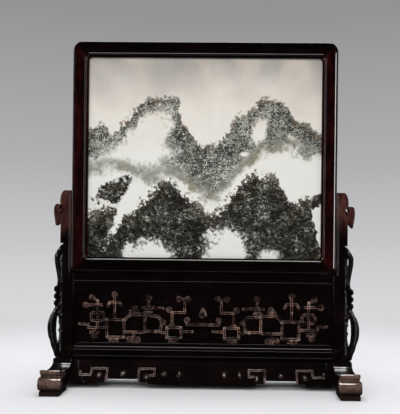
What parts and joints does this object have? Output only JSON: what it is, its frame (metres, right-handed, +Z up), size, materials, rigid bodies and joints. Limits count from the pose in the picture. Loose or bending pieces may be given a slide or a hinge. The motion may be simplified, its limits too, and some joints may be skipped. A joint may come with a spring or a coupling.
{
  "type": "table screen",
  "caption": "Framed picture stone in a dark carved hardwood stand with scrolled feet, hooked posts, openwork spandrels and a fret panel.",
  "frame": {"origin": "on the ground, under the middle of the stand", "axes": "+Z up, +X to the right as seen from the carved front, +Y from front to back"},
  "size_m": [0.5486, 0.206, 0.6009],
  "materials": {
    "dark_wood": "polished, waxed",
    "red_wood": "polished, waxed",
    "worn_wood": "polished, worn pale on the ends",
    "picture_stone": "polished marble with grey-green veining, opaque"
  },
  "bodies": {
    "root": {"frame_top_rail": "red_wood", "frame_bottom_rail": "red_wood", "frame_left_stile": "red_wood", "frame_right_stile": "red_wood", "stone_panel": "picture_stone", "left_post": "red_wood", "right_post": "red_wood", "left_foot": "worn_wood", "right_foot": "worn_wood", "left_spandrel": "dark_wood", "right_spandrel": "dark_wood", "stand_upper_rail": "dark_wood", "stand_lower_rail": "dark_wood", "carved_panel": "dark_wood", "front_apron": "dark_wood", "back_apron": "dark_wood"}
  },
  "joints": []
}
